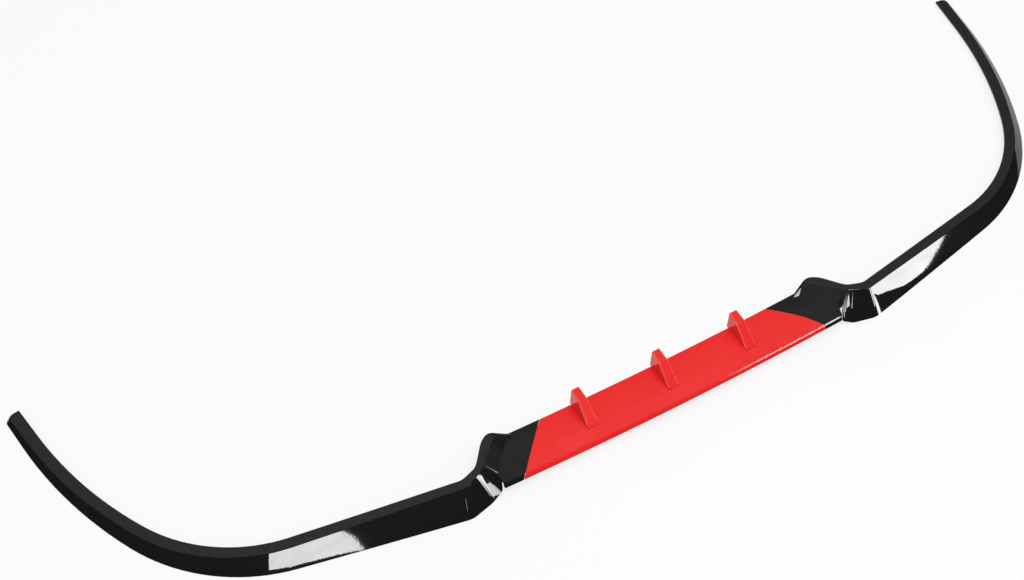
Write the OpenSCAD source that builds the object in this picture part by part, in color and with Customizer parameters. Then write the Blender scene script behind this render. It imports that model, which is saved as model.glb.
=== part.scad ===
// Front splitter lip for a car's bumper, lying on its bottom edge.
// X runs across the car, Y towards its rear, Z up, and left and right are as seen
// from the front. Two black arms carry a red centre section with fins between them,
// and screws underneath hold the three together.

/* [Centre section] */
// Height of the centre section at its highest line
crown_z = 34.5; // [32:0.5:38]
// Distance of that highest line in front of the origin
crown_y = 190.5; // [186:0.5:194]
// Distance of the rear edge in front of the origin
rear_y = 157.5; // [150:0.5:162]
// Fall from the highest line to the rear edge
rear_fall = 3; // [2:0.25:5]
// Radius of the nose, in front of the highest line
nose_r = 72; // [62:1:84]
// Length of the nose, from the highest line to its front edge
nose_run = 33.7; // [32:0.1:36]
// Height of the front face below the nose
front_face = 8.9; // [7:0.1:10]
// Lean of the front face, outwards at its foot
front_lean = 1.8; // [0:0.2:4]
// Size of the bevel between the nose and the front face
lip_bevel = 1.2; // [0.8:0.1:2]
// Radius of the bow of the whole centre section, seen from above
bow_r = 7200; // [6000:100:12000]
// Half width of the red section along its rear edge
seam_rear_x = 195; // [185:1:205]
// Half width of the red section along its front edge
seam_front_x = 261; // [250:1:266]
// Gap between the red section and each arm
seam_gap = 0.6; // [0.4:0.1:1.2]

/* [Fins] */
// Number of fins
fin_count = 3; // [1:2:3]
// Distance from fin to fin
fin_pitch = 134; // [110:1:150]
// Width of a fin at its rear
fin_rear_w = 12.6; // [11:0.2:16]
// Width of a fin at its foot
fin_front_w = 17.3; // [14:0.2:20]
// Height of a fin's rear top corner
fin_top_z = 61.5; // [56:0.5:68]
// Reach of a fin behind the rear edge
fin_overhang = 5; // [0:0.5:6]
// Length of a fin's flat top
fin_top_run = 20; // [14:1:24]
// Fall along the flat top
fin_top_fall = 2; // [0:0.5:4]
// Length of a fin from its rear to its foot
fin_run = 52.5; // [48:0.5:56]
// Height of a fin's foot at its front
fin_foot_h = 2; // [1:0.25:4]
// Size of the bevel along a fin's upper edges
fin_edge_r = 1.2; // [0.6:0.1:1.5]
// Wall of the hollow fins
fin_wall = 2.4; // [2:0.1:3]

/* [Arms] */
// Distance from the centre plane to the bend, where an arm starts
bend_x = 338.7; // [334:0.1:346]
// Distance of the bend in front of the origin
bend_y = 205.9; // [202:0.1:210]
// Height of the ridge at the bend
bend_z = 43; // [40:0.5:48]
// Height of the ridge at the tip
tip_z = 7.1; // [6.5:0.1:10]
// How fast the ridge comes down along the arm
ridge_power = 1.65; // [1.3:0.05:2]
// Angle that the front run sweeps back by
front_sweep = 10.5; // [8:0.5:13]
// Length of the straight front run
front_run = 248; // [230:1:266]
// Radius of the corner
corner_r = 247; // [230:1:264]
// Angle of the corner
corner_turn = 51; // [48:0.5:54]
// Radius of the side run
side_r = 597; // [560:1:640]
// Angle of the side run
side_turn = 21.4; // [18:0.2:24]
// Length of the straight end
tip_run = 54; // [40:1:70]
// Width of the top flange at the bend
flange_bend_w = 13.2; // [11:0.2:16]
// Width of the top flange at the tip
flange_tip_w = 17.8; // [15:0.2:20]
// Flare of the outer face at the bend, from the ridge to the bottom edge
flare_bend = 26.5; // [24:0.5:30]
// Flare of the outer face at the tip
flare_tip = 5.7; // [4:0.1:8]
// Rounding of the tip's outer corner
tip_round = 7; // [4:0.5:10]
// Size of the rounding along the ridge
ridge_round = 1.6; // [0.8:0.1:2]

/* [Wall] */
// Wall of all three mouldings
wall = 3; // [2.5:0.1:3.4]

/* [Horns] */
// Height of the ridge above the centre section, beside it
horn_rise = 10; // [7:0.5:13]
// Direction of the ridge as it leaves the bend, from the X axis
horn_first_turn = 155; // [151:1:159]
// Length of the ridge from the bend to the horn's front corner
horn_first_run = 32; // [29:0.5:34]
// Direction of the ridge along the horn
horn_turn = 137; // [134:1:140]
// Length of the ridge from the front corner to the widest place
horn_run = 43; // [38:0.5:48]
// Length of the ridge from the widest place to the top
horn_top_run = 18; // [15:0.5:21]
// Distance from the seam to the horn's rear end
horn_rear_x = 40; // [36:0.5:46]
// Reach of the side wall at the top of the horn
horn_rear_slope = 17; // [15:0.5:19]
// Reach of the side wall at the horn's front corner
horn_front_slope = 23; // [21:0.5:25]
// Width of the flange along the horn
horn_flange_w = 9.5; // [7:0.5:11]
// Width of the flange at its widest place
horn_wide_w = 13.5; // [11:0.5:15]
// Width of the flange at the horn's rear end
horn_end_w = 5; // [4:0.5:6]
// Distance from the front corner to the lowest corner, in plan
horn_foot_run = 33.5; // [31:0.5:35]
// Direction of that distance, from the X axis
horn_foot_turn = 233.5; // [230:0.5:236]
// Height of the bottom edge where it meets the centre section
horn_foot_z = 12; // [8:0.5:14]
// Distance from the lowest corner to where the bottom edge reaches the floor
horn_toe_run = 19; // [16:0.5:24]

/* [Joints underneath] */
// Reach of each arm's tongue below the red section
tongue_reach = 30; // [26:1:36]
// Play between tongue and red section
tongue_play = 0.3; // [0.2:0.1:0.6]
// Diameter of the bosses below the red section
boss_d = 9; // [8:0.5:10]
// Play around each boss
boss_play = 0.6; // [0.3:0.1:1]
// Diameter of the flat seat round each boss
seat_d = 19; // [17:0.5:21]
// Depth of the seats below the red section
seat_drop = 5; // [4.5:0.1:6]
// Core diameter of the screws
screw_d = 3.4; // [3:0.1:4]
// Play around a screw in its boss
screw_play = 0.1; // [0.05:0.05:0.2]
// Diameter of the screws' washer heads
head_d = 14; // [12:0.5:16]
// Thickness of the screws' heads
head_h = 2.6; // [2:0.1:3]
// Thickness of the heads' washer flange
head_flange_h = 1; // [0.8:0.1:1.4]
// Distance of the first screw behind the front edge
screw_front = 22; // [20:1:26]
// Distance from the first screw to the second, along Y
screw_pitch = 26; // [24:1:28]
// Number of ribs below the red section
rib_count = 4; // [2:2:6]
// Distance from rib to rib
rib_pitch = 44; // [40:1:46]
// Thickness of a rib
rib_w = 2.5; // [2:0.1:3]
// Depth of a rib
rib_h = 6; // [4:0.5:8]

/* [Hidden] */
eps = 0.01;
spare = 10;
arc_steps = 6;
round_fn = 48;
flare_power = 1.25;
black = [0.07, 0.07, 0.08];
red = [0.92, 0.2, 0.19];
steel = [0.35, 0.35, 0.37];
rear_run = crown_y - rear_y;
rear_r = (rear_run * rear_run + rear_fall * rear_fall) / (2 * rear_fall);
nose_fall = nose_r - sqrt(nose_r * nose_r - nose_run * nose_run);
nose_y = crown_y + nose_run;
nose_z = crown_z - nose_fall;
lip_y = nose_y + front_lean;
lip_z = nose_z - front_face;
rear_z = crown_z - rear_fall;
seam_slope = (seam_front_x - seam_rear_x) / (lip_y - rear_y);

// Plan form: bow, seam and crown
function bow(x) = bow_r - sqrt(bow_r * bow_r - x * x);
function fall(r, run) = r - sqrt(r * r - run * run);
function crown_run(x, y) = -y + bow(x) - crown_y;
function top_z(x, y) =
    let (run = crown_run(x, y))
    crown_z - fall(run > 0 ? nose_r : rear_r, min(run, nose_run));
function seam_x(y) = seam_rear_x + seam_slope * (-y - rear_y);

// Path along three edges of an arm, from the centre section to the tip
function heading(a) = [cos(a), sin(a), 0];
function left_of(a) = heading(a + 90);
corner_end = front_sweep + corner_turn;
tip_heading = corner_end + side_turn;
corner_len = corner_r * corner_turn * PI / 180;
side_len = side_r * side_turn * PI / 180;
arm_len = front_run + corner_len + side_len + tip_run;
bend = [bend_x, -bend_y, 0];
corner_start = bend + front_run * heading(front_sweep);
corner_centre = corner_start + corner_r * left_of(front_sweep);
side_start = corner_centre - corner_r * left_of(corner_end);
side_centre = side_start + side_r * left_of(corner_end);
tip_start = side_centre - side_r * left_of(tip_heading);

function turn_at(s) =
    s < front_run ? front_sweep
    : s < front_run + corner_len ? front_sweep + corner_turn * (s - front_run) / corner_len
    : s < arm_len - tip_run ? corner_end + side_turn * (s - front_run - corner_len) / side_len
    : tip_heading;
function ridge_at(s) =
    s < front_run ? bend + s * heading(front_sweep)
    : s < front_run + corner_len ? corner_centre - corner_r * left_of(turn_at(s))
    : s < arm_len - tip_run ? side_centre - side_r * left_of(turn_at(s))
    : tip_start + (s - arm_len + tip_run) * heading(tip_heading);
function ridge_z(s) = tip_z + (bend_z - tip_z) * pow(1 - s / arm_len, ridge_power);
function flange_w(s) = flange_bend_w + (flange_tip_w - flange_bend_w) * s / arm_len;
function flare(s) = flare_bend + (flare_tip - flare_bend) * pow(s / arm_len, flare_power);
function tip_cut(s) = fall(tip_round, max(0, s - arm_len + tip_round));
function at_height(p, z) = [p.x, p.y, z];

// One station of an arm: its inner edge, its ridge and its bottom edge
function station(s) =
    let (p = ridge_at(s), side = left_of(turn_at(s)), z = ridge_z(s), cut = tip_cut(s))
    [at_height(p + flange_w(s) * side, z),
     at_height(p + cut * side, z),
     at_height(p - (flare(s) - cut) * side, 0)];

// Corners of the horn, where the arm bends back beside the centre section
join_s = 16;
top_drop = 1;
end_sink = 0.5;
horn_z = crown_z + horn_rise;
sink = 1 + wall / (2 * horn_rise);
across = left_of(horn_turn);
horn_front = bend + horn_first_run * heading(horn_first_turn);
horn_mid = horn_front + horn_flange_w * heading(horn_turn);
horn_wide = horn_front + horn_run * heading(horn_turn);
horn_top = horn_wide + horn_top_run * heading(horn_turn);
horn_end = [seam_rear_x + horn_rear_x, -rear_y - wall, 0];
horn_foot = horn_front + horn_foot_run * heading(horn_foot_turn);
mid_slope = (horn_rear_slope + horn_front_slope) / 2;
bend_side = heading((front_sweep + horn_first_turn) / 2);
function midway(p, q) = (p + q) / 2;
function aside(p, reach, z) = at_height(p + reach * across, z);
function foot(p, reach) =
    let (q = p + reach * across)
    at_height(p, horn_z) + sink * (at_height(q, top_z(q.x, q.y)) - at_height(p, horn_z));
inner_edge = [
    aside(horn_end, -horn_end_w, rear_z - end_sink),
    aside(horn_top, -horn_flange_w, horn_z - top_drop),
    aside(horn_wide, -horn_wide_w, horn_z),
    aside(horn_mid, -horn_flange_w, horn_z),
    aside(horn_front, -horn_flange_w, horn_z),
    midway(aside(horn_front, -horn_flange_w, horn_z), at_height(bend + flange_bend_w * bend_side, bend_z)),
    at_height(bend + flange_bend_w * bend_side, bend_z)];
ridge_edge = [
    at_height(horn_end, rear_z - end_sink),
    at_height(horn_top, horn_z - top_drop),
    at_height(horn_wide, horn_z),
    at_height(horn_mid, horn_z),
    at_height(horn_front, horn_z),
    midway(at_height(horn_front, horn_z), at_height(bend, bend_z)),
    at_height(bend, bend_z)];
bottom_edge = [
    aside(horn_end, 1.5 * wall, rear_z - 2 * wall),
    foot(horn_top, horn_rear_slope),
    foot(horn_wide, mid_slope),
    foot(horn_mid, horn_front_slope),
    at_height(horn_foot, horn_foot_z),
    at_height(horn_foot + horn_toe_run * unit(station(0)[2] - horn_foot), 0),
    station(0)[2]];
corner_cuts = [0, 9, 8, 4, 4, 6, 7];

// A path whose corners are rounded by parabolas, with the same number of points for every edge
function rounded(a, p, b, cut) =
    let (from = p + cut * (a - p) / norm(a - p), to = p + cut * (b - p) / norm(b - p))
    [for (i = [0 : arc_steps]) let (t = i / arc_steps)
        (1 - t) * (1 - t) * from + 2 * t * (1 - t) * p + t * t * to];
function horn_path(edge, last) =
    let (all = concat(edge, [last]))
    concat([edge[0]], [for (k = [1 : len(edge) - 1]) each rounded(all[k - 1], all[k], all[k + 1], corner_cuts[k])]);

function steps(from, length, parts) = [for (i = [0 : parts - 1]) from + length * i / parts];
run_steps = concat(
    steps(join_s, front_run - join_s, 9),
    steps(front_run, corner_len, 18),
    steps(front_run + corner_len, side_len, 12),
    [arm_len - tip_run, arm_len - tip_run / 2],
    [for (i = [0 : arc_steps]) arm_len - tip_round * (1 - sin(90 * i / arc_steps))]);
join = station(join_s);
edges = [inner_edge, ridge_edge, bottom_edge];
horn_paths = [for (k = [0 : 2]) horn_path(edges[k], join[k])];
stations = concat(
    [for (i = [0 : len(horn_paths[0]) - 1]) [for (k = [0 : 2]) horn_paths[k][i]]],
    [for (s = run_steps) station(s)]);

// Wall section at a station: outside from flange to bottom edge, then back inside
function unit(v) = v / norm(v);
function section(st) =
    let (
        a = st[0], b = st[1], f = st[2],
        e1 = unit(a - b), e2 = unit(f - b),
        n1 = unit(e2 - (e2 * e1) * e1),
        inner = b + (e1 + e2) * wall / norm(cross(e1, e2)),
        down = inner + e2 * (f.z - inner.z) / e2.z)
    [a, b + ridge_round * e1, b + (1 - cos(45)) * ridge_round * (e1 + e2), b + ridge_round * e2, f, down, inner, a + wall * n1];

// Solid between like sections
module loft(rings) {
    n = len(rings[0]);
    last = len(rings) - 1;
    points = [for (ring = rings) each ring];
    sides = [for (i = [0 : last - 1], j = [0 : n - 1])
        let (p = i * n + j, q = i * n + (j + 1) % n)
        each [[p, q + n, q], [p, p + n, q + n]]];
    start = [for (j = [0 : n - 1]) j];
    end = [for (j = [0 : n - 1]) (last + 1) * n - 1 - j];
    polyhedron(points, concat([start], sides, [end]));
}

// Cross section of the centre section, in distance behind the crown and height
front_top = [-nose_run, nose_z];
front_foot = [-nose_run - front_lean, lip_z];
bevel_top = [lip_bevel - nose_run, crown_z - fall(nose_r, nose_run - lip_bevel)];
bevel_foot = front_top + lip_bevel * unit(front_foot - front_top);
module crown(sunk) {
    intersection() {
        translate([0, crown_z - rear_r]) circle(rear_r - sunk, $fn = 720);
        translate([0, rear_z - wall - spare]) square([rear_run, wall + spare + rear_fall]);
    }
    intersection() {
        translate([0, crown_z - nose_r]) circle(nose_r - sunk, $fn = 120);
        translate([-nose_run, crown_z - nose_r]) square([nose_run, nose_r]);
    }
}
module crown_band(from, to) {
    difference() {
        crown(from);
        crown(to);
    }
}
module front_band() {
    polygon([front_top, front_foot, front_foot + [wall, 0], front_top + [wall, wall / 3]]);
}
// What the bevel takes off the corner above the front face
module front_corner() {
    polygon([2 * bevel_top - bevel_foot, 2 * bevel_foot - bevel_top, front_top + [-spare / 2, spare / 2]]);
}

// Turns a cross section along the bow
module bowed() {
    span = 2 * asin(320 / bow_r);
    translate([0, bow_r, 0]) rotate([0, 0, -90 - span / 2])
        rotate_extrude(angle = span, $fn = 1440)
            translate([bow_r + crown_y, 0]) mirror([1, 0]) children();
}
module top_shell() {
    bowed() difference() {
        union() {
            crown_band(0, wall);
            front_band();
        }
        front_corner();
    }
}

// Plan outlines
module seam_outline() {
    rear = spare - rear_y;
    front = -lip_y - spare;
    polygon([[0, rear], [seam_x(rear), rear], [seam_x(front), front], [0, front]]);
}
module plan(low = 0, high = crown_z + spare) {
    translate([0, 0, low]) linear_extrude(high - low) children();
}

// Screw places, under the red section and along each seam
screw_ys = [for (i = [0 : 1]) -lip_y + screw_front + i * screw_pitch];
function screw_x(y) = seam_x(y) - tongue_reach / 2 - 2;
function seat_z(y) = top_z(screw_x(y), y) - wall - seat_drop;
module at_screws() {
    for (y = screw_ys) translate([screw_x(y), y, seat_z(y)]) children();
}
module both_sides() {
    children();
    mirror([1, 0, 0]) children();
}

// A fin with a flat top and a sloped front; inset makes the same form smaller, for its hollow
fin_xs = [for (i = [0 : fin_count - 1]) (i - (fin_count - 1) / 2) * fin_pitch];
fin_rear = fin_overhang - rear_y;
fin_ys = [fin_rear, fin_rear - fin_top_run, fin_rear - fin_run];
fin_ws = [fin_rear_w, fin_rear_w + (fin_front_w - fin_rear_w) * fin_top_run / fin_run, fin_front_w];
fin_zs = [fin_top_z, fin_top_z - fin_top_fall, top_z(0, fin_ys[2]) + fin_foot_h];
fin_steepness = norm([fin_ys[1] - fin_ys[2], fin_zs[1] - fin_zs[2]]) / (fin_ys[1] - fin_ys[2]);
module fin(inset, floor_drop) {
    loft([for (i = [2 : -1 : 0])
        let (
            w = fin_ws[i] / 2 - inset,
            y = fin_ys[i] - (i == 0 ? inset : 0) + (i == 2 ? 2 * inset : 0),
            z = fin_zs[i] - inset * fin_steepness,
            base = top_z(0, min(y, -rear_y)) - floor_drop,
            r = fin_edge_r)
        [[-w, y, base], [-w, y, z - r], [-w + r, y, z], [w - r, y, z], [w, y, z - r], [w, y, base]]]);
}
module at_fins() {
    for (x = fin_xs) translate([x, bow(x), 0]) children();
}

module ribs() {
    intersection() {
        bowed() crown_band(wall / 2, wall + rib_h);
        plan(lip_z + 1) for (i = [0 : rib_count - 1])
            translate([(i - (rib_count - 1) / 2) * rib_pitch - rib_w / 2, -lip_y]) square([rib_w, lip_y - rear_y]);
    }
}
module bosses() {
    intersection() {
        bowed() crown(wall / 2);
        both_sides() at_screws() cylinder(d = boss_d, h = seat_drop + wall, $fn = round_fn);
    }
}

module centre_section() color(red) {
    difference() {
        union() {
            intersection() {
                top_shell();
                plan() {
                    seam_outline();
                    mirror([1, 0]) seam_outline();
                }
            }
            at_fins() fin(0, wall);
            ribs();
            bosses();
        }
        at_fins() fin(fin_wall, 3 * wall);
        both_sides() at_screws() translate([0, 0, -eps])
            cylinder(d = screw_d, h = seat_drop + wall / 3, $fn = round_fn);
    }
}

// The part of an arm beside the red section, out to the foot of the horn's side wall
function under(p, reach) = let (q = p + 0.75 * reach * across) [q.x, q.y];
module arm_blade() {
    intersection() {
        top_shell();
        plan() polygon([
            [seam_x(-rear_y + spare) + seam_gap, spare - rear_y],
            [seam_x(-lip_y - spare) + seam_gap, -lip_y - spare],
            [horn_foot.x - wall, -lip_y - spare], [horn_foot.x - wall, horn_foot.y],
            under(horn_mid, horn_front_slope), under(horn_wide, mid_slope),
            under(horn_top, horn_rear_slope), [horn_end.x, spare - rear_y]]);
    }
}

// The tongue below the red section, with a flat seat round each boss
module tongue_band(near, far) {
    plan() polygon([
        [seam_x(-rear_y - 4) + near, -rear_y - 4], [seam_x(-nose_y + 9) + near, -nose_y + 9],
        [seam_x(-nose_y + 9) + far, -nose_y + 9], [seam_x(-rear_y - 4) + far, -rear_y - 4]]);
}
module tongue() {
    difference() {
        union() {
            intersection() {
                bowed() crown_band(wall + tongue_play, 2 * wall + tongue_play);
                tongue_band(-tongue_reach, wall + seam_gap);
            }
            intersection() {
                bowed() crown_band(wall / 2, 2 * wall + tongue_play);
                tongue_band(2 * seam_gap, 2 * wall);
            }
            intersection() {
                bowed() crown(wall + tongue_play);
                at_screws() cylinder(d = seat_d, h = 2 * seat_drop, $fn = round_fn);
            }
        }
        at_screws() {
            translate([0, 0, -eps]) cylinder(d = boss_d + 2 * boss_play, h = 4 * seat_drop, $fn = round_fn);
            translate([0, 0, -seat_drop]) cylinder(d = seat_d, h = seat_drop, $fn = round_fn);
        }
    }
}

module arm() {
    union() {
        loft([for (st = stations) section(st)]);
        arm_blade();
        tongue();
    }
}
module right_arm() color(black) arm();
module left_arm() color(black) mirror([1, 0, 0]) arm();

// Washer-head screws, up through the tongues into the bosses
module section_screws() color(steel) {
    both_sides() at_screws() difference() {
        union() {
            translate([0, 0, -head_flange_h]) cylinder(d = head_d, h = head_flange_h, $fn = round_fn);
            translate([0, 0, -head_h]) cylinder(d = head_d * 0.6, h = head_h, $fn = round_fn);
            cylinder(d = screw_d - 2 * screw_play, h = seat_drop + wall / 3 - 0.5, $fn = round_fn);
        }
        translate([0, 0, -head_h]) {
            cube([0.36 * head_d, 0.8, 2.4], center = true);
            cube([0.8, 0.36 * head_d, 2.4], center = true);
        }
    }
}

centre_section();
left_arm();
right_arm();
section_screws();
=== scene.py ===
import math

import bpy
from mathutils import Matrix, Vector

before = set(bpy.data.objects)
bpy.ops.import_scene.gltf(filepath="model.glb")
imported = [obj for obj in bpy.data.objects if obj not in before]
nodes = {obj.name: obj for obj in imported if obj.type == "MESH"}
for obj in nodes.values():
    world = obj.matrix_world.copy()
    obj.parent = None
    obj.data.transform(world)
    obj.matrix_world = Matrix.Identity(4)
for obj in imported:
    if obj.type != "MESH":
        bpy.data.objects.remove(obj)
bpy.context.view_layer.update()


# Camera: the lip is seen from its front left and well above, with a long lens and a
# slight roll, so that the arms run from corner to corner of the frame.
eye = Vector((-1.11244, -1.44585, 2.51044))
aim = Vector((-0.09893, 0.07460, 0.0))
lens_mm = 73.855
sensor_mm = 36.0
roll_deg = 3.45
farthest = 30.0
camera = bpy.data.objects.new("camera", bpy.data.cameras.new("camera"))
bpy.context.scene.collection.objects.link(camera)
camera.data.lens = lens_mm
camera.data.sensor_width = sensor_mm
camera.data.clip_end = farthest
turn = (aim - eye).to_track_quat("-Z", "Y").to_matrix().to_4x4()
roll = Matrix.Rotation(math.radians(roll_deg), 4, "Z")
camera.matrix_world = Matrix.Translation(eye) @ turn @ roll
bpy.context.scene.camera = camera


# Moulded plastic: every section is injection moulded, so its gloss is broken by a very
# fine waviness and a few soft cloudy patches. The group gives the roughness and the
# height of that skin, and each section's material sets its own values.
wave_scale = 220.0
wave_height = 0.0002
cloud_scale = 14.0
cloud_detail = 3.0
weld_gap = 0.00002


def feed(tree, socket, source):
    if isinstance(source, bpy.types.NodeSocket):
        tree.links.new(source, socket)
    else:
        socket.default_value = source


def reckon(tree, operation, *sources):
    step = tree.nodes.new("ShaderNodeMath")
    step.operation = operation
    for socket, source in zip(step.inputs, sources):
        feed(tree, socket, source)
    return step.outputs[0]


def grain(tree, scale, detail=2.0):
    place = tree.nodes.new("ShaderNodeTexCoord")
    noise = tree.nodes.new("ShaderNodeTexNoise")
    noise.inputs["Detail"].default_value = detail
    feed(tree, noise.inputs["Scale"], scale)
    tree.links.new(place.outputs["Object"], noise.inputs["Vector"])
    return noise.outputs["Fac"]


skin = bpy.data.node_groups.new("moulded skin", "ShaderNodeTree")
for name, value in (("Roughness", 0.2), ("Cloud", 0.05), ("Wave Scale", wave_scale)):
    socket = skin.interface.new_socket(name, in_out="INPUT", socket_type="NodeSocketFloat")
    socket.default_value = value
for name in ("Roughness", "Height", "Cloud"):
    skin.interface.new_socket(name, in_out="OUTPUT", socket_type="NodeSocketFloat")
inside = skin.nodes.new("NodeGroupInput").outputs
outside = skin.nodes.new("NodeGroupOutput").inputs
waves = grain(skin, inside["Wave Scale"])
clouds = grain(skin, cloud_scale, cloud_detail)
either_way = reckon(skin, "SUBTRACT", clouds, 0.5)
cloud_part = reckon(skin, "MULTIPLY", either_way, inside["Cloud"])
feed(skin, outside["Roughness"], reckon(skin, "ADD", cloud_part, inside["Roughness"]))
feed(skin, outside["Height"], waves)
feed(skin, outside["Cloud"], clouds)


def moulded(name, roughness, cloudiness, waviness):
    material = bpy.data.materials.new(name)
    material.use_nodes = True
    tree = material.node_tree
    shader = tree.nodes["Principled BSDF"]
    surface = tree.nodes.new("ShaderNodeGroup")
    surface.node_tree = skin
    surface.inputs["Roughness"].default_value = roughness
    surface.inputs["Cloud"].default_value = cloudiness
    ripple = tree.nodes.new("ShaderNodeBump")
    ripple.inputs["Strength"].default_value = waviness
    ripple.inputs["Distance"].default_value = wave_height
    tree.links.new(surface.outputs["Height"], ripple.inputs["Height"])
    tree.links.new(surface.outputs["Roughness"], shader.inputs["Roughness"])
    tree.links.new(ripple.outputs["Normal"], shader.inputs["Normal"])
    return material, surface, ripple


# A piece takes its one material. Its faces blend where they meet at less than the crease
# angle, and each large face keeps its own plane, so that it mirrors evenly.
def dress(node, material, crease_deg):
    node.data.materials.clear()
    node.data.materials.append(material)
    weld = node.modifiers.new("weld", "WELD")
    weld.merge_threshold = weld_gap
    for polygon in node.data.polygons:
        polygon.use_smooth = True
    edges = node.modifiers.new("edges", "EDGE_SPLIT")
    edges.split_angle = math.radians(crease_deg)
    flats = node.modifiers.new("flats", "WEIGHTED_NORMAL")
    flats.mode = "FACE_AREA"
    flats.weight = 100


# Centre section: one moulding in through-coloured red plastic, with three hollow fins.
# Its skin is smooth and glossy and the red varies a little. The fins' edges carry a painted
# highlight: a pale line where the rounded and the true normal part, above the fins' foot.
deep_red = (0.79, 0.021, 0.020, 1)
full_red = (0.84, 0.029, 0.027, 1)
painted_highlight_red = (0.95, 0.55, 0.52, 1)
highlight_width = 0.0020
highlight_share = 0.9
normals_agree, normals_part = 0.96, 0.86
fin_foot, fin_foot_top = 0.0358, 0.0362


def ramp(tree, source, low, high, start=0.0, end=1.0):
    step = tree.nodes.new("ShaderNodeMapRange")
    tree.links.new(source, step.inputs["Value"])
    step.inputs["From Min"].default_value = low
    step.inputs["From Max"].default_value = high
    step.inputs["To Min"].default_value = start
    step.inputs["To Max"].default_value = end
    return step.outputs[0]


def blend(tree, kind, share, first, second):
    step = tree.nodes.new("ShaderNodeMix")
    step.data_type = kind
    tree.links.new(share, step.inputs["Factor"])
    feed(tree, step.inputs["A"], first)
    feed(tree, step.inputs["B"], second)
    return step.outputs["Result"]


def position(tree):
    place = tree.nodes.new("ShaderNodeTexCoord")
    parts = tree.nodes.new("ShaderNodeSeparateXYZ")
    tree.links.new(place.outputs["Object"], parts.inputs[0])
    return parts.outputs


red, surface, _ = moulded("red plastic", roughness=0.12, cloudiness=0.05, waviness=0.03)
tree = red.node_tree
shader = tree.nodes["Principled BSDF"]
shader.inputs["Specular IOR Level"].default_value = 0.4
rounded = tree.nodes.new("ShaderNodeBevel")
rounded.samples = 6
rounded.inputs["Radius"].default_value = highlight_width
shape = tree.nodes.new("ShaderNodeNewGeometry")
agree = tree.nodes.new("ShaderNodeVectorMath")
agree.operation = "DOT_PRODUCT"
tree.links.new(rounded.outputs["Normal"], agree.inputs[0])
tree.links.new(shape.outputs["Normal"], agree.inputs[1])
edge = ramp(tree, agree.outputs["Value"], normals_agree, normals_part, 0.0, highlight_share)
on_fin = ramp(tree, position(tree)["Z"], fin_foot, fin_foot_top)
# Painted highlight: the fins' edges are painted pale, as if they caught the light.
edge_highlight = reckon(tree, "MULTIPLY", edge, on_fin)
moulded_red = blend(tree, "RGBA", surface.outputs["Cloud"], deep_red, full_red)
red_with_highlight = blend(tree, "RGBA", edge_highlight, moulded_red, painted_highlight_red)
tree.links.new(red_with_highlight, shader.inputs["Base Color"])
dress(nodes["centre_section"], red, crease_deg=24)


# Arms: one black moulding each, with the mould polished on the outer face and left satin on
# the narrow top flange, which is told by its level top, outside the middle or up on the
# horn. The flange's satin roughness is its own, and its lighter black is a painted sheen of
# the bright studio above. The outer face is crowned by about half a millimetre, as it
# leaves the mould.
gloss_black = (0.0095, 0.0095, 0.0096, 1)
satin_black_with_painted_sheen = (0.018, 0.018, 0.0182, 1)
satin_roughness = 0.48
nearly_level, level = 0.93, 0.975
middle_end, arm_start = 0.320, 0.321
horn_foot, horn_start = 0.0375, 0.038
face_middle = 0.018
crown_fall = -2.0
black, surface, ripple = moulded(
    "black plastic", roughness=0.025, cloudiness=0.01, waviness=0.03
)
tree = black.node_tree
shader = tree.nodes["Principled BSDF"]
shape = tree.nodes.new("ShaderNodeNewGeometry")
facing = tree.nodes.new("ShaderNodeSeparateXYZ")
tree.links.new(shape.outputs["Normal"], facing.inputs[0])
level_top = ramp(tree, facing.outputs["Z"], nearly_level, level)
where = position(tree)
on_arm = ramp(tree, reckon(tree, "ABSOLUTE", where["X"]), middle_end, arm_start)
on_horn = ramp(tree, where["Z"], horn_foot, horn_start)
flange = reckon(tree, "MULTIPLY", reckon(tree, "MAXIMUM", on_arm, on_horn), level_top)
polish = blend(tree, "FLOAT", flange, surface.outputs["Roughness"], satin_roughness)
tree.links.new(polish, shader.inputs["Roughness"])
# Painted sheen: the level tops get a lighter black than the polished faces.
black_with_painted_sheen = blend(tree, "RGBA", flange, gloss_black, satin_black_with_painted_sheen)
tree.links.new(black_with_painted_sheen, shader.inputs["Base Color"])
off_middle = reckon(tree, "SUBTRACT", where["Z"], face_middle)
squared = reckon(tree, "MULTIPLY", off_middle, off_middle)
crown = tree.nodes.new("ShaderNodeBump")
crown.inputs["Strength"].default_value = 1.0
crown.inputs["Distance"].default_value = 1.0
tree.links.new(reckon(tree, "MULTIPLY", squared, crown_fall), crown.inputs["Height"])
tree.links.new(crown.outputs["Normal"], ripple.inputs["Normal"])
for side in ("left_arm", "right_arm"):
    dress(nodes[side], black, crease_deg=20)


# Screws: washer-head self-tapping screws in blackened steel, driven up from below
# through the arms' tongues into the red section's bosses.
dense_oxide = (0.03, 0.03, 0.033, 1)
thin_oxide = (0.07, 0.068, 0.065, 1)
oxide_scale = 900.0
smoothest, roughest = 0.35, 0.6
steel = bpy.data.materials.new("blackened steel")
steel.use_nodes = True
tree = steel.node_tree
shader = tree.nodes["Principled BSDF"]
shader.inputs["Metallic"].default_value = 0.7
oxide = grain(tree, oxide_scale)
tree.links.new(ramp(tree, oxide, 0.0, 1.0, smoothest, roughest), shader.inputs["Roughness"])
oxide_tone = blend(tree, "RGBA", oxide, dense_oxide, thin_oxide)
tree.links.new(oxide_tone, shader.inputs["Base Color"])
dress(nodes["section_screws"], steel, crease_deg=30)


# Floor: a plain sheet of white paper that the lip lies on. It shows nearly white to the
# camera and keeps the lip's soft shadow. The polished faces don't mirror it, and show the
# tent and the studio beyond it.
half_side = 9
paper_drop = 0.0002
paper_white = (0.95, 0.95, 0.95, 1)
paper_glow = 0.975
glow_share = 0.8


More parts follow.
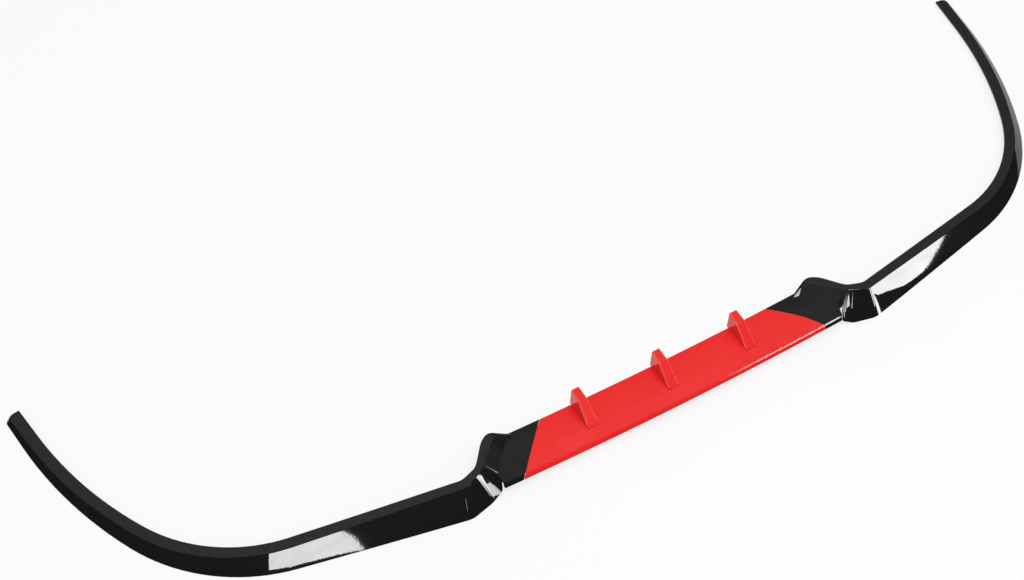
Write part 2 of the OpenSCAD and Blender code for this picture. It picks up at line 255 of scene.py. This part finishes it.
def seen_plainly(tree):
    path = tree.nodes.new("ShaderNodeLightPath").outputs
    seen = reckon(tree, "MAXIMUM", path["Is Camera Ray"], path["Is Glossy Ray"])
    return reckon(tree, "MAXIMUM", seen, path["Is Transmission Ray"])


corners = [(-1, -1), (1, -1), (1, 1), (-1, 1)]
floor_mesh = bpy.data.meshes.new("floor")
floor_mesh.from_pydata(
    [(x * half_side, y * half_side, 0) for x, y in corners], [], [(0, 1, 2, 3)]
)
floor = bpy.data.objects.new("floor", floor_mesh)
bpy.context.scene.collection.objects.link(floor)
floor.location.z = -paper_drop
paper = bpy.data.materials.new("white paper")
paper.use_nodes = True
tree = paper.node_tree
matt = tree.nodes["Principled BSDF"]
matt.inputs["Base Color"].default_value = paper_white
matt.inputs["Roughness"].default_value = 0.9
matt.inputs["Specular IOR Level"].default_value = 0.1
glow = tree.nodes.new("ShaderNodeEmission")
glow.inputs["Strength"].default_value = paper_glow
lift = tree.nodes.new("ShaderNodeMixShader")
tree.links.new(reckon(tree, "MULTIPLY", seen_plainly(tree), glow_share), lift.inputs["Fac"])
tree.links.new(matt.outputs[0], lift.inputs[1])
tree.links.new(glow.outputs[0], lift.inputs[2])
tree.links.new(lift.outputs[0], tree.nodes["Material Output"].inputs["Surface"])
floor_mesh.materials.append(paper)
floor.visible_glossy = False


# Studio: white walls all round, dimmed where they light the lip, and one large soft box
# that hangs above and in front of it on a boom. The polished faces don't mirror the box.
wall_light = 0.66
wall_white = 0.985
box_spot = Vector((0.2, -0.7, 3.0))
box_width, box_depth = 2.4, 1.6
box_watts = 42
world = bpy.data.worlds.new("studio")
bpy.context.scene.world = world
world.use_nodes = True
tree = world.node_tree
dim = tree.nodes["Background"]
dim.inputs["Color"].default_value = (1, 1, 1, 1)
dim.inputs["Strength"].default_value = wall_light
white = tree.nodes.new("ShaderNodeBackground")
white.inputs["Strength"].default_value = wall_white
mix = tree.nodes.new("ShaderNodeMixShader")
tree.links.new(seen_plainly(tree), mix.inputs["Fac"])
tree.links.new(dim.outputs[0], mix.inputs[1])
tree.links.new(white.outputs[0], mix.inputs[2])
tree.links.new(mix.outputs[0], tree.nodes["World Output"].inputs["Surface"])
light = bpy.data.lights.new("overhead", "AREA")
light.shape = "RECTANGLE"
light.size = box_width
light.size_y = box_depth
light.energy = box_watts
overhead = bpy.data.objects.new("overhead", light)
bpy.context.scene.collection.objects.link(overhead)
overhead.location = box_spot
overhead.rotation_euler = (-box_spot).to_track_quat("-Z", "Y").to_euler()
overhead.visible_glossy = False


# Black tent: dark cloth hung round and over the table, which only the polished faces see,
# so that the gloss black stays black between the windows. It hangs lower at the front, and
# its roof is thin enough to let some light through.
tent_radius = 4.5
folds = 48
side_hem, front_hem = -7, -50
front_start, front_end = 3.8, 5.8
roof_start, roof_full = 2.3, 3.6
dark_cloth = (0.01, 0.01, 0.01, 1)
thin_cloth = (0.45, 0.45, 0.43, 1)


def mirrored_only(thing):
    thing.visible_camera = False
    thing.visible_diffuse = False
    thing.visible_shadow = False
    thing.visible_transmission = False


turns = [math.tau * i / folds for i in range(folds)]
rows = [[front_hem if front_start < around < front_end else side_hem for around in turns]]
rows += [[climb] * folds for climb in (10, 20, 30, 40, 50, 60, 70, 80, 89)]
cloth_points = []
for row in rows:
    for around, climb in zip(turns, map(math.radians, row)):
        reach = tent_radius * math.cos(climb)
        rise = tent_radius * math.sin(climb)
        cloth_points.append((reach * math.cos(around), reach * math.sin(around), rise))
cloth_faces = []
for low in range(0, folds * (len(rows) - 1), folds):
    high = low + folds
    for i in range(folds):
        after = (i + 1) % folds
        cloth_faces.append((low + i, low + after, high + after, high + i))
tent_mesh = bpy.data.meshes.new("black tent")
tent_mesh.from_pydata(cloth_points, [], cloth_faces)
tent = bpy.data.objects.new("black tent", tent_mesh)
bpy.context.scene.collection.objects.link(tent)
cloth = bpy.data.materials.new("black cloth")
cloth.use_nodes = True
tree = cloth.node_tree
shader = tree.nodes["Principled BSDF"]
shader.inputs["Roughness"].default_value = 1.0
roof = ramp(tree, position(tree)["Z"], roof_start, roof_full)
weave = blend(tree, "RGBA", roof, dark_cloth, thin_cloth)
tree.links.new(weave, shader.inputs["Base Color"])
tent_mesh.materials.append(cloth)
mirrored_only(tent)


# Windows: bright panes in front of the lip, with a pale uneven sky behind them, which the
# arms' outer faces mirror as white shapes and the front edge as pale lines. They add no
# light to the matt surfaces.
pane_distance = 3.0
sky_scale = 4.0
sky_grey = (0.7, 0.7, 0.7, 1)
sky_white = (1, 1, 1, 1)


# A pane stands square to the way in which one face looks out: a point on that face, an
# azimuth from the front towards the right, and an elevation, both in degrees. The points
# of its outline are metres to the left and up on the pane's plane.
def window(name, face, outline, strength):
    spot, azimuth, elevation = face
    around, above = math.radians(azimuth), math.radians(elevation)
    ahead = math.cos(above)
    way = Vector((math.sin(around) * ahead, -math.cos(around) * ahead, math.sin(above)))
    across = Vector((-math.cos(around), -math.sin(around), 0))
    up = way.cross(across)
    up = up if up.z > 0 else -up
    middle = Vector(spot) + pane_distance * way
    points = [middle + u * across + v * up for u, v in outline]
    mesh = bpy.data.meshes.new(name)
    mesh.from_pydata(points, [], [range(len(points))])
    pane = bpy.data.objects.new(name, mesh)
    bpy.context.scene.collection.objects.link(pane)
    light = bpy.data.materials.new(name)
    light.use_nodes = True
    tree = light.node_tree
    glow = tree.nodes.new("ShaderNodeEmission")
    glow.inputs["Strength"].default_value = strength
    sky = tree.nodes.new("ShaderNodeTexNoise")
    sky.inputs["Scale"].default_value = sky_scale
    sky_tone = blend(tree, "RGBA", sky.outputs["Fac"], sky_grey, sky_white)
    tree.links.new(sky_tone, glow.inputs["Color"])
    tree.links.new(glow.outputs[0], tree.nodes["Material Output"].inputs["Surface"])
    mesh.materials.append(light)
    mirrored_only(pane)


def upright(first, last, foot, head):
    return [(first, foot), (last, foot), (last, head), (first, head)]


left_front = ((-0.555, -0.177, 0.013), -9.8, 16.8)
right_front = ((0.418, -0.203, 0.020), 47.3, 1.1)
left_bend = ((-0.321, -0.210, 0.027), 26.2, 4.7)
right_horn = ((0.250, -0.157, 0.036), 9.5, 50.0)
front_edge = ((0.215, -0.220, 0.026), 35.2, 19.3)
left_outline = [
    (0.614, 0.60), (0.614, -0.02), (0.208, -0.12), (-0.061, -0.22), (-0.145, -0.33),
    (-0.222, -0.48), (-0.285, -0.64), (-0.230, -0.10), (-0.200, 0.13), (-0.150, 0.60),
]
right_outline = [
    (0.206, 0.44), (0.206, -0.06), (0.165, -0.16), (0.124, -0.215), (0.081, -0.30),
    (0.046, -0.265), (0.008, -0.20), (-0.045, 0.0), (-0.103, 0.20), (-0.150, 0.35),
    (-0.170, 0.44),
]
side_outline = [
    (0.205, 0.50), (0.205, 0.0), (0.222, -0.40), (0.245, -0.85), (0.330, -0.85),
    (0.330, 0.50),
]
front_outline = [
    (0.17, -0.49), (0.60, -0.46), (0.60, -0.32), (0.27, -0.34), (0.27, -0.18),
    (0.17, -0.20),
]
far_outline = upright(0.355, 0.430, -0.12, 0.45)
bar_outline = upright(-1.20, -1.00, -0.45, 0.42)
low_outline = upright(1.372, 1.408, -0.28, 0.16)
rear_outline = upright(-0.20, 0.20, -0.28, 0.28)
window("left window", left_front, left_outline, strength=20)
window("right window", right_front, right_outline, strength=20)
window("right window side", right_front, side_outline, strength=20)
window("right window far pane", right_front, far_outline, strength=16)
window("bend window", left_bend, bar_outline, strength=20)
window("bend window low pane", left_bend, low_outline, strength=17)
window("horn window", right_horn, rear_outline, strength=15)
window("front window", front_edge, front_outline, strength=20)


bpy.context.scene.view_settings.view_transform = "Standard"
